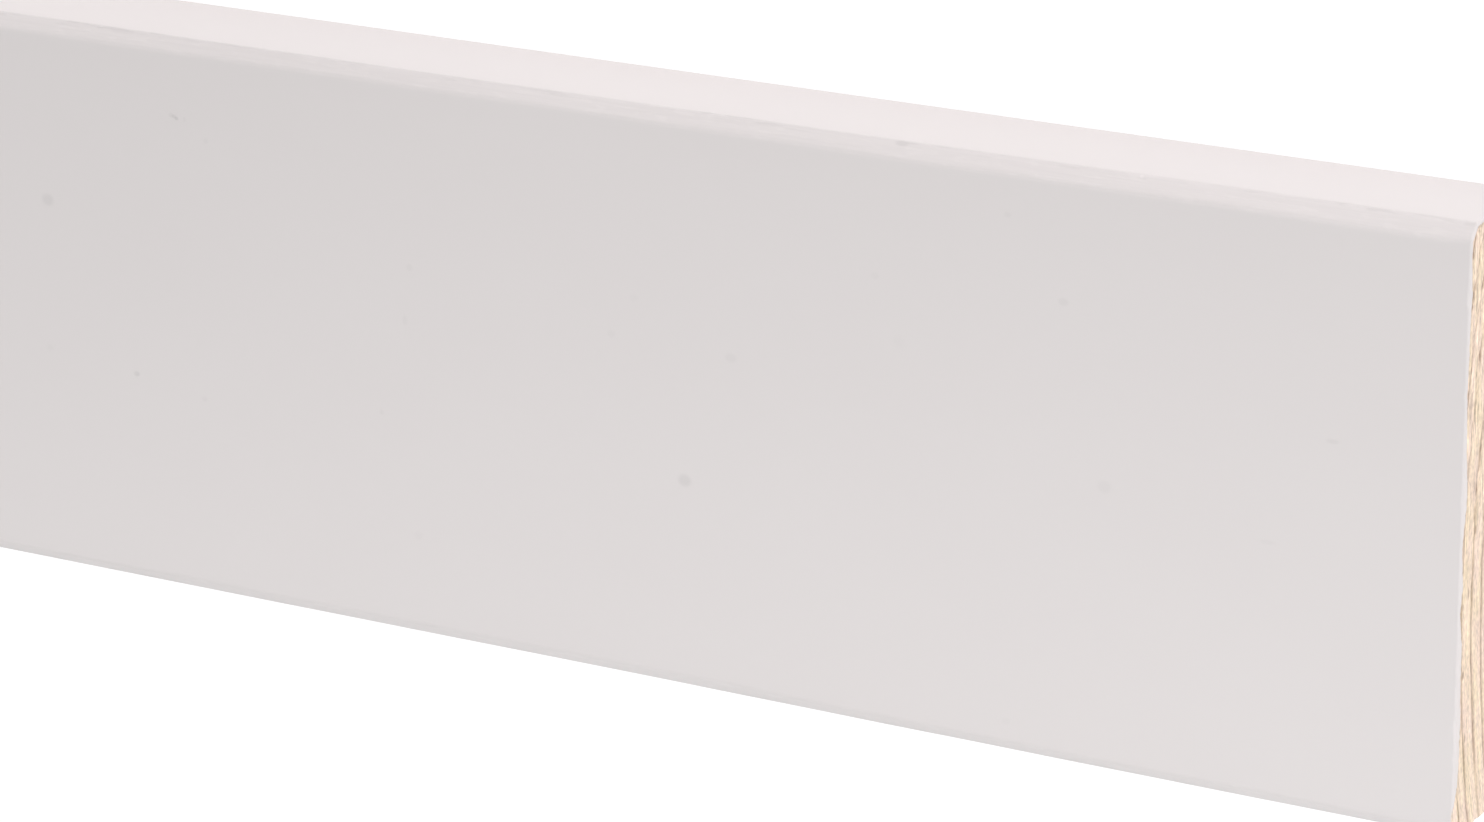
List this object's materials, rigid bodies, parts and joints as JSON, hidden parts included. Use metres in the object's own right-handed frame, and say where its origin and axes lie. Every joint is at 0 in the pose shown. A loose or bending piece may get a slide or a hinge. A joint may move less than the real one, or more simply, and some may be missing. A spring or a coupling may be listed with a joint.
{
  "type": "architrave",
  "caption": "Straight length of flat painted softwood architrave with bevelled front arrises, a bare back and square sawn ends.",
  "frame": {"origin": "middle of the back face, which lies on the floor", "axes": "+X along the board towards the end that the picture shows, +Y across its width towards the edge that is uppermost in the picture, +Z out of the face"},
  "size_m": [2.2, 0.07, 0.015],
  "materials": {
    "painted_softwood": "satin",
    "bare_softwood": "matte"
  },
  "bodies": {
    "root": {"architrave": "painted_softwood"}
  },
  "joints": []
}
